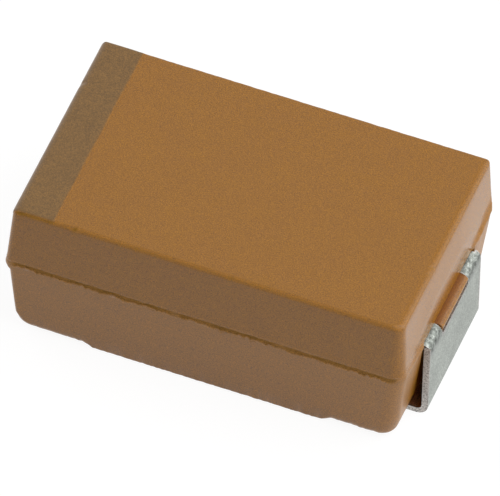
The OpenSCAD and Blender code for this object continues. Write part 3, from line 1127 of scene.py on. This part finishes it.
def bar_mesh(c, m, surface):
    """The ink as a thin closed skin on the top face and over its rounded edge at the anode end."""
    flat_x = c.shift + c.length / 2 - top_inset(c, -1.0, 0.0)
    flat_front = c.width / 2 - top_inset(c, 0.0, -1.0)
    flat_back = c.width / 2 - top_inset(c, 0.0, 1.0)
    rows, columns = bar_lines(c, m, flat_front, flat_back)
    bm = bmesh.new()
    cover_layer = bm.verts.layers.float.new("cover")
    top = []
    under = []
    for y in columns:
        spot = (0.0, y, 0.0)
        edge = m.ragged * uneven("bar edge", spot)
        near = smooth(*BAR_SETS_IN, y - columns[0] + uneven("bar end", spot))
        side_round = c.back_round if y > 0 else c.front_round
        flat_y = min(max(y, -flat_front), flat_back)
        top.append([])
        under.append([])
        for x in rows:
            moved = x + edge * smooth(0.0, m.bar_width, x)
            past = Vector((min(moved, 0.0) / c.anode_round, (y - flat_y) / side_round))
            pull = min(1.0, (BAR_LIMIT - BAR_CORNER_LOSS * abs(past.y)) / max(past.length, TINY))
            px = max(moved, 0.0) + past.x * pull * c.anode_round - flat_x
            py = flat_y + past.y * pull * side_round
            place, normal, _, _ = surface.ray_cast(Vector((px, py, c.height + LOOK_FROM)) * MM, DOWN)
            if place is None:
                raise RuntimeError("the bar leaves the case")
            cover = near * smooth(0.0, m.fade, m.bar_width - x)
            for sheet, lift in ((top, mix(INK_THIN, INK_FULL, cover)), (under, INK_UNDER)):
                vert = bm.verts.new(place / MM + normal * (m.ink * lift))
                vert[cover_layer] = cover
                sheet[-1].append(vert)
    last_i = len(columns) - 1
    last_j = len(rows) - 1
    for i in range(last_i):
        for j in range(last_j):
            bm.faces.new((top[i][j], top[i][j + 1], top[i + 1][j + 1], top[i + 1][j]))
            bm.faces.new((under[i][j], under[i + 1][j], under[i + 1][j + 1], under[i][j + 1]))
    border = [(i, 0) for i in range(last_i)] + [(last_i, j) for j in range(last_j)]
    border += [(i, last_j) for i in range(last_i, 0, -1)] + [(0, j) for j in range(last_j, 0, -1)]
    for (i, j), (a, b) in zip(border, border[1:] + border[:1]):
        bm.faces.new((top[i][j], top[a][b], under[a][b], under[i][j]))
    bmesh.ops.recalc_face_normals(bm, faces=bm.faces)
    return bm


class CHIP_OT_print_bar(Operator):
    """Print the polarity bar on the top face"""

    bl_idname = "chip_capacitor.print_bar"
    bl_label = "Print polarity bar"

    def execute(self, context):
        c = in_mm(context.scene.chip_case)
        m = in_mm(context.scene.chip_marks)
        case = bpy.data.objects["case_moulding"].data
        surface = BVHTree.FromPolygons([v.co for v in case.vertices], [p.vertices for p in case.polygons])
        mesh = mesh_from(bar_mesh(c, m, surface), "polarity_ink")
        material = ink_material(context.scene.chip_finishes)
        finished_piece("polarity_ink", mesh, material, sharp=60, replaced=["polarity_bar"])
        return {"FINISHED"}


# Flash beads, which follow the parting line

# Which row of the parting line is the lip, how far in the bead lies and what share of a side it covers
LIP_ROW = 6
PATH_INSET = 0.014
PATH_SHARE = 0.975

# Sizes of the crumbs along their three axes, in crumb radii
CRUMB_LEAST = (0.5, 0.4, 0.3)
CRUMB_MOST = (1.1, 0.9, 0.7)


def flash_tree():
    """A node tree that lays an uneven bead along a path and scatters crumbs on it."""
    inputs = {
        "Path": "Geometry",
        "Bead radius": "Float",
        "Crumb radius": "Float",
        "Crumb share": "Float",
        "Seed": "Int",
        "Material": "Material",
    }
    tree, given = new_group("flash_bead", "GeometryNodeTree", inputs, {"Flash": "Geometry"})
    curve = add(tree, "GeometryNodeMeshToCurve", {"Mesh": given["Path"]})

    # The bead swells and thins out along the path
    swell = add(tree, "ShaderNodeTexNoise", {"Scale": 5.0, "Detail": 3.0, "Roughness": 0.7})
    limits = {"From Min": 0.4, "From Max": 0.75, "To Min": 0.05, "To Max": 1.0}
    spread = add(tree, "ShaderNodeMapRange", {"Value": swell, **limits})
    radius = add(tree, "ShaderNodeMath", {0: spread, 1: given["Bead radius"]}, operation="MULTIPLY")
    ring = add(tree, "GeometryNodeCurvePrimitiveCircle", {"Resolution": 8, "Radius": 1.0})
    shape = {"Curve": curve, "Profile Curve": ring, "Scale": radius, "Fill Caps": True}
    bead = add(tree, "GeometryNodeCurveToMesh", shape)

    # Crumbs sit on a few places of the path, each turned and sized by chance
    seed = {"Seed": given["Seed"]}
    share = {"Probability": given["Crumb share"], **seed}
    turns = {"Max": (math.tau, math.tau, math.tau), **seed}
    sizes = {"Min": CRUMB_LEAST, "Max": CRUMB_MOST, **seed}
    ball = {"Radius": given["Crumb radius"], "Subdivisions": 2}
    crumbs = {
        "Points": add(tree, "GeometryNodeCurveToPoints", {"Curve": curve}, mode="EVALUATED"),
        "Selection": add(tree, "FunctionNodeRandomValue", share, data_type="BOOLEAN"),
        "Instance": add(tree, "GeometryNodeMeshIcoSphere", ball),
        "Rotation": add(tree, "FunctionNodeRandomValue", turns, data_type="FLOAT_VECTOR"),
        "Scale": add(tree, "FunctionNodeRandomValue", sizes, data_type="FLOAT_VECTOR"),
    }
    scattered = add(tree, "GeometryNodeInstanceOnPoints", crumbs)

    # Beads and crumbs end as one plain mesh
    both = add(tree, "GeometryNodeJoinGeometry", {"Geometry": bead})
    plug(tree, both, {"Geometry": scattered})
    plain = add(tree, "GeometryNodeRealizeInstances", {"Geometry": both})
    coated = add(tree, "GeometryNodeSetMaterial", {"Geometry": plain, "Material": given["Material"]})
    add(tree, "NodeGroupOutput", {"Flash": coated})
    return tree


def flash_paths(c, t):
    """Two open paths along the lips of the long sides."""
    bm = bmesh.new()
    _, _, back, _, _, _, front, _ = case_stations(c, t)
    for group in (back, front):
        verts = []
        for station in group:
            if abs(station.kx) < PATH_SHARE:
                place = parting_line(station)[LIP_ROW][0]
                place.y = station.ny * (c.width / 2 - PATH_INSET)
                verts.append(bm.verts.new(place))
        for a, b in zip(verts, verts[1:]):
            bm.edges.new((a, b))
    return bm


class CHIP_OT_lay_flash(Operator):
    """Lay beads and crumbs of flash along the parting line"""

    bl_idname = "chip_capacitor.lay_flash"
    bl_label = "Lay flash"

    def execute(self, context):
        c = in_mm(context.scene.chip_case)
        t = in_mm(context.scene.chip_terminals)
        m = in_mm(context.scene.chip_marks)
        material = flash_material(context.scene.chip_finishes)
        holder = new_object("flash_path", mesh_from(flash_paths(c, t), "flash_path"))
        laid = holder.modifiers.new("Flash", "NODES")
        laid.node_group = flash_tree()
        values = {
            "Bead radius": m.bead,
            "Crumb radius": m.crumb,
            "Crumb share": m.crumb_share,
            "Seed": m.seed,
            "Material": material,
        }
        for item in laid.node_group.interface.items_tree:
            if item.in_out == "INPUT" and item.name in values:
                laid[item.identifier] = values[item.name]
        mesh = evaluated(holder, "parting_flash")
        finished_piece("parting_flash", mesh, material, sharp=60)
        return {"FINISHED"}


# Materials

# Waves of the clouds in a material, per metre
CLOUD_SCALE = 2600.0

# Roughness between the low and the high places of the grain
RESIN_ROUGH = (0.08, 0.16)
FLASH_ROUGH = (0.4, 0.6)
INK_ROUGH = (0.25, 0.4)
TIN_ROUGH = (0.38, 0.5)

# Roughness that flash, groove and matte places add to the resin, and that strain adds to the tin
FLASH_ADDS = 0.15
GROOVE_ADDS = 0.6
MATTE_ADDS = 0.5
STRAIN_ADDS = -0.1

# Shares of the flash's colour on the moulding and of the resin's reflection inside a terminal's wall
FLASH_SHARE = 0.5
INNER_SHARE = 0.9

# Dark spots on the strained tin and pits in the cut edges: grain, range of the noise that shows, share of
# colour
SPOT_GRAIN = 0.07
SPOT_SHOWS = (0.32, 0.6)
SPOT_TONE = 0.42
PIT_GRAIN = 0.03
PIT_SHOWS = (0.48, 0.7)
PIT_TONE = 0.45

# Shares of the grain and of the dark spots in the tin's relief
GRAIN_RELIEF = 0.5
SPOT_RELIEF = 0.9

# How far the roughness of a hidden piece varies, and how cloudy it is
INSIDE_SPREAD = 0.08
INSIDE_CLOUD = 0.15


def grain_group():
    """Fine grain of a surface: a shade that varies about 1, a height and wide patches."""
    found = bpy.data.node_groups.get("fine_grain")
    if found:
        return found
    inputs = dict.fromkeys(("Grain size", "Contrast", "Cloud"), "Float")
    outputs = dict.fromkeys(("Shade", "Height", "Patches"), "Float")
    tree, given = new_group("fine_grain", "ShaderNodeTree", inputs, outputs)
    where = add(tree, "ShaderNodeTexCoord").outputs["Object"]
    pitch = add(tree, "ShaderNodeMath", {0: 1.0, 1: given["Grain size"]}, operation="DIVIDE")
    fine = {"Vector": where, "Scale": pitch, "Detail": 3.0, "Roughness": 0.65}
    grain = add(tree, "ShaderNodeTexNoise", fine)
    cloud = add(tree, "ShaderNodeTexNoise", {"Vector": where, "Scale": CLOUD_SCALE, "Detail": 3.0})
    shades = []
    for source, strength in ((grain, "Contrast"), (cloud, "Cloud")):
        centred = add(tree, "ShaderNodeMath", {0: source, 1: 0.5}, operation="SUBTRACT")
        values = {0: centred, 1: given[strength], 2: 1.0}
        shades.append(add(tree, "ShaderNodeMath", values, operation="MULTIPLY_ADD"))
    both = add(tree, "ShaderNodeMath", {0: shades[0], 1: shades[1]}, operation="MULTIPLY")
    add(tree, "NodeGroupOutput", {"Shade": both, "Height": grain, "Patches": cloud})
    return tree


class Finish:
    """A material under construction: its tree and its fine grain."""

    def __init__(self, name, grain_mm, contrast, cloud):
        self.material = bpy.data.materials.new(name)
        self.material.use_nodes = True
        self.tree = self.material.node_tree
        values = {"Grain size": grain_mm * MM, "Contrast": contrast, "Cloud": cloud}
        grain = add(self.tree, "ShaderNodeGroup", values, node_tree=grain_group())
        self.shade = grain.outputs["Shade"]
        self.height = grain.outputs["Height"]
        self.patches = grain.outputs["Patches"]

    def attribute(self, name):
        """A value that is stored on the mesh."""
        return add(self.tree, "ShaderNodeAttribute", attribute_name=name).outputs["Fac"]

    def noise(self, size_mm):
        """Noise of a given grain in object space."""
        where = add(self.tree, "ShaderNodeTexCoord").outputs["Object"]
        inputs = {"Vector": where, "Scale": 1.0 / (size_mm * MM), "Detail": 2.0}
        return add(self.tree, "ShaderNodeTexNoise", inputs)

    def blend(self, first, second, share):
        """A colour between two."""
        return add(self.tree, "ShaderNodeMix", {"Factor": share, "A": first, "B": second}, data_type="RGBA")

    def ranged(self, value, low, high):
        """A value from 0 to 1 spread over a range."""
        return add(self.tree, "ShaderNodeMapRange", {"Value": value, "To Min": low, "To Max": high})

    def part(self, value, most):
        """A value from 0 to 1 as a part of an amount."""
        return self.ranged(value, 0.0, most)

    def contrast(self, value, low, high):
        """A value stretched so that a range of it goes from 0 to 1."""
        return add(self.tree, "ShaderNodeMapRange", {"Value": value, "From Min": low, "From Max": high})

    def times(self, first, second):
        """The product of two values."""
        return add(self.tree, "ShaderNodeMath", {0: first, 1: second}, operation="MULTIPLY")

    def plus(self, first, second):
        """The sum of two values."""
        return add(self.tree, "ShaderNodeMath", {0: first, 1: second}, operation="ADD")

    def done(self, colour, roughness, relief, relief_mm, **values):
        """The material, with the grain's shade on its colour, and plain values by socket name."""
        inputs = {"Factor": 1.0, "A": colour, "B": self.shade}
        shaded = add(self.tree, "ShaderNodeMix", inputs, data_type="RGBA", blend_type="MULTIPLY")
        inputs = {"Strength": 1.0, "Distance": relief_mm * MM, "Height": relief}
        bump = add(self.tree, "ShaderNodeBump", inputs)
        inputs = {"Base Color": shaded, "Roughness": roughness, "Normal": bump, **values}
        plug(self.tree, self.tree.nodes["Principled BSDF"], inputs)
        return self.material


def resin_material(f):
    """Orange-brown moulded resin with paler flash, painted shade in the parting groove and on the front edge
    at the anode end, darker nicks, and tongues with painted shade and a painted highlight on their rims.
    """
    finish = Finish("moulded_resin", grain_mm=0.017, contrast=2.9, cloud=0.16)
    groove = finish.attribute("groove")
    flash = finish.attribute("flash")
    clouded = finish.blend(f.resin, f.resin_olive, finish.patches)
    # Painted shade: the groove layer puts the seam colour in the parting groove and on the front edge at the
    # anode end, and on the nicks too
    groove_shaded = finish.blend(clouded, f.seam, groove)
    # Below 0 the flash layer paints shade on the tongues in the tongue colour, above 0 a highlight on their
    # rims in the flash colour
    flashed = finish.blend(groove_shaded, f.flash, finish.part(flash, FLASH_SHARE))
    tongue_shaded = finish.blend(flashed, f.tongue, finish.contrast(flash, 0.0, -1.0))
    worn = finish.plus(finish.part(flash, FLASH_ADDS), finish.part(groove, GROOVE_ADDS))
    dull = finish.plus(worn, finish.part(finish.attribute("matte"), MATTE_ADDS))
    roughness = finish.plus(finish.ranged(finish.height, *RESIN_ROUGH), dull)
    return finish.done(tongue_shaded, roughness, finish.height, relief_mm=0.0003, IOR=1.49)


def flash_material(f):
    """Rough pale resin of beads and crumbs."""
    finish = Finish("rough_flash", grain_mm=0.02, contrast=0.6, cloud=0.2)
    roughness = finish.ranged(finish.height, *FLASH_ROUGH)
    return finish.done(f.flash, roughness, finish.height, relief_mm=0.002, IOR=1.5)


def ink_material(f):
    """Thin grey-brown ink that lets the resin show at its edge."""
    finish = Finish("bar_ink", grain_mm=0.017, contrast=2.8, cloud=0.3)
    covered = finish.blend(f.resin, f.ink, finish.attribute("cover"))
    roughness = finish.ranged(finish.height, *INK_ROUGH)
    return finish.done(covered, roughness, finish.height, relief_mm=0.0006, IOR=1.5)


def tin_material(f):
    """Matte tin plating, crumpled on the bends, with bare metal on the cut edges and a painted reflection of
    the resin inside the walls.
    """
    finish = Finish("tinned_strip", grain_mm=0.028, contrast=2.2, cloud=0.5)
    bend = finish.attribute("bend")
    cut = finish.attribute("cut")
    speck = finish.noise(SPOT_GRAIN)
    dark_spots = finish.times(bend, finish.contrast(speck, *SPOT_SHOWS))
    spotted = finish.blend(f.tin, [SPOT_TONE * v for v in f.tin], dark_spots)
    edged = finish.blend(spotted, f.cut, cut)
    pits = finish.times(cut, finish.contrast(finish.noise(PIT_GRAIN), *PIT_SHOWS))
    pitted = finish.blend(edged, [PIT_TONE * v for v in f.cut], pits)
    # Painted reflection: the inner faces take the warm gap colour in place of the resin's reflection
    painted_resin_reflection = finish.blend(pitted, f.gap, finish.part(finish.attribute("inner"), INNER_SHARE))
    polish = finish.part(finish.times(bend, speck), STRAIN_ADDS)
    roughness = finish.plus(finish.ranged(finish.height, *TIN_ROUGH), polish)
    crumples = finish.times(bend, finish.part(speck, SPOT_RELIEF))
    relief = finish.plus(finish.part(finish.height, GRAIN_RELIEF), crumples)
    return finish.done(painted_resin_reflection, roughness, relief, relief_mm=0.004, Metallic=1.0)


def plain_finish(name, colour, grain_mm, contrast, dull, metallic, relief_mm):
    """A grained material for a piece inside the case."""
    finish = Finish(name, grain_mm, contrast, INSIDE_CLOUD)
    roughness = finish.ranged(finish.height, dull - INSIDE_SPREAD, dull + INSIDE_SPREAD)
    return finish.done(colour, roughness, finish.height, relief_mm, Metallic=metallic)


# Each hidden piece: colour, grain, contrast, roughness, metal and relief
INSIDE = {
    "anode_pellet": ((0.060, 0.062, 0.070), 0.05, 0.8, 0.75, 0.0, 0.006),
    "anode_wire": ((0.420, 0.420, 0.440), 0.03, 0.3, 0.35, 1.0, 0.001),
    "wire_washer": ((0.780, 0.780, 0.760), 0.04, 0.1, 0.45, 0.0, 0.001),
    "manganese_dioxide_coat": ((0.022, 0.020, 0.020), 0.03, 0.6, 0.85, 0.0, 0.004),
    "carbon_coat": ((0.030, 0.030, 0.032), 0.02, 0.4, 0.6, 0.0, 0.002),
    "silver_coat": ((0.560, 0.550, 0.530), 0.015, 0.4, 0.45, 1.0, 0.002),
    "silver_adhesive": ((0.480, 0.470, 0.450), 0.02, 0.5, 0.5, 1.0, 0.003),
}


class CHIP_OT_finish_inside(Operator):
    """Give the pieces inside the case their materials"""

    bl_idname = "chip_capacitor.finish_inside"
    bl_label = "Finish inner pieces"

    def execute(self, context):
        for name, values in INSIDE.items():
            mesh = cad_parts[name].data
            mesh.materials.clear()
            mesh.materials.append(plain_finish(name + "_finish", *values))
        return {"FINISHED"}


# Stage, in metres

WHITE = (1.0, 1.0, 1.0)
SENSOR_MM = 36.0
CLIP_START = 0.01
CLIP_END = 10.0
FLOOR_HALF = 0.5
FLOOR_GLOW = 0.86
GLOW_STRENGTH = 1.08
LAMP_DISTANCE = 0.1
LAMP_SIZE = 0.12

# Ways from the part to the lamps
KEY_WAY = (0.56, 0.06, 0.8)
FILL_WAY = (-0.87, 0.14, 0.45)
RIM_WAY = (0.75, 0.62, 0.25)


def seen_directly(tree):
    """1 for rays from the camera, a mirror or a clear body, and 0 for light that is scattered."""
    ray = add(tree, "ShaderNodeLightPath").outputs
    seen = ray["Is Camera Ray"]
    for name in ("Is Glossy Ray", "Is Transmission Ray"):
        seen = add(tree, "ShaderNodeMath", {0: seen, 1: ray[name]}, operation="MAXIMUM")
    return seen


def floor_material(colour):
    """A pale floor that looks white, keeps the shadow and can't be seen from below."""
    material = bpy.data.materials.new("studio_floor")
    material.use_nodes = True
    tree = material.node_tree
    tree.nodes.remove(tree.nodes["Principled BSDF"])
    share = add(tree, "ShaderNodeMath", {0: seen_directly(tree), 1: FLOOR_GLOW}, operation="MULTIPLY")
    matte = add(tree, "ShaderNodeBsdfDiffuse", {"Color": colour})
    glow = add(tree, "ShaderNodeEmission", {"Strength": GLOW_STRENGTH})
    bright = add(tree, "ShaderNodeMixShader", {0: share, 1: matte, 2: glow})
    below = add(tree, "ShaderNodeNewGeometry").outputs["Backfacing"]
    clear = add(tree, "ShaderNodeBsdfTransparent")
    shown = add(tree, "ShaderNodeMixShader", {0: below, 1: bright, 2: clear})
    plug(tree, tree.nodes["Material Output"], {"Surface": shown})
    return material


class CHIP_OT_set_stage(Operator):
    """Set the camera, the light and the floor"""

    bl_idname = "chip_capacitor.set_stage"
    bl_label = "Set stage"

    def execute(self, context):
        scene = context.scene
        scene.view_settings.view_transform = "Standard"
        self.set_camera(scene, scene.chip_stage)
        self.set_light(scene, scene.chip_stage)
        self.set_floor(scene)
        return {"FINISHED"}

    @staticmethod
    def set_camera(scene, stage):
        az, el, roll = stage.azimuth, stage.elevation, stage.roll
        level = Vector((math.cos(az), math.sin(az), 0.0))
        back = Vector((math.sin(az) * math.cos(el), -math.cos(az) * math.cos(el), math.sin(el)))
        raised = back.cross(level)
        across = level * math.cos(roll) - raised * math.sin(roll)
        up = level * math.sin(roll) + raised * math.cos(roll)
        aim = Vector((0.0, 0.0, stage.aim_height)) + across * stage.slide_x + up * stage.slide_y
        data = bpy.data.cameras.new("camera")
        data.lens = stage.lens
        data.sensor_width = SENSOR_MM
        data.clip_start = CLIP_START
        data.clip_end = CLIP_END
        camera = new_object("camera", data)
        turn = Matrix((across, up, back)).transposed().to_4x4()
        camera.matrix_world = Matrix.Translation(aim + back * stage.distance) @ turn
        scene.camera = camera

    @staticmethod
    def set_light(scene, stage):
        lamps = (
            ("key_light", KEY_WAY, stage.key, True),
            ("fill_light", FILL_WAY, stage.fill, False),
            ("rim_light", RIM_WAY, stage.rim, True),
        )
        for name, way, power, mirrored in lamps:
            data = bpy.data.lights.new(name, "AREA")
            data.shape = "DISK"
            data.size = LAMP_SIZE
            data.energy = power
            lamp = new_object(name, data)
            lamp.location = Vector(way).normalized() * LAMP_DISTANCE
            lamp.rotation_euler = lamp.location.to_track_quat("Z", "Y").to_euler()
            lamp.visible_glossy = mirrored
        world = bpy.data.worlds.new("studio")
        world.use_nodes = True
        tree = world.node_tree
        limits = {"To Min": stage.ambient, "To Max": 1.0}
        strength = add(tree, "ShaderNodeMapRange", {"Value": seen_directly(tree), **limits})
        plug(tree, tree.nodes["Background"], {"Color": WHITE, "Strength": strength})
        scene.world = world

    @staticmethod
    def set_floor(scene):
        bm = bmesh.new()
        bmesh.ops.create_grid(bm, x_segments=4, y_segments=4, size=FLOOR_HALF)
        mesh = mesh_from(bm, "floor")
        mesh.materials.append(floor_material(scene.chip_finishes.floor))
        new_object("floor", mesh)


class CHIP_PT_capacitor(Panel):
    """Lists the steps that build the capacitor and its settings"""

    bl_label = "Chip capacitor"
    bl_idname = "CHIP_PT_capacitor"
    bl_space_type = "VIEW_3D"
    bl_region_type = "UI"
    bl_category = "Capacitor"

    def draw(self, context):
        for step in STEPS:
            self.layout.operator(step.bl_idname)
        for name, kind in SETTINGS.items():
            box = self.layout.box()
            box.label(text=kind.__doc__)
            for key in kind.__annotations__:
                box.prop(getattr(context.scene, name), key)


STEPS = (
    CHIP_OT_set_stage,
    CHIP_OT_mould_case,
    CHIP_OT_fold_terminals,
    CHIP_OT_print_bar,
    CHIP_OT_lay_flash,
    CHIP_OT_finish_inside,
)
SETTINGS = {
    "chip_case": CaseSizes,
    "chip_terminals": TerminalSizes,
    "chip_marks": MarkSizes,
    "chip_finishes": Finishes,
    "chip_stage": StageSettings,
}


def register():
    """Registers the settings, the steps and the panel."""
    for name, kind in SETTINGS.items():
        bpy.utils.register_class(kind)
        setattr(bpy.types.Scene, name, PointerProperty(type=kind))
    for kind in (*STEPS, CHIP_PT_capacitor):
        bpy.utils.register_class(kind)


def unregister():
    """Takes back what register made."""
    for kind in (CHIP_PT_capacitor, *reversed(STEPS)):
        bpy.utils.unregister_class(kind)
    for name, kind in SETTINGS.items():
        delattr(bpy.types.Scene, name)
        bpy.utils.unregister_class(kind)


def main():
    """Builds everything in order."""
    register()
    for step in STEPS:
        group, name = step.bl_idname.split(".")
        getattr(getattr(bpy.ops, group), name)()


if __name__ == "__main__":
    main()
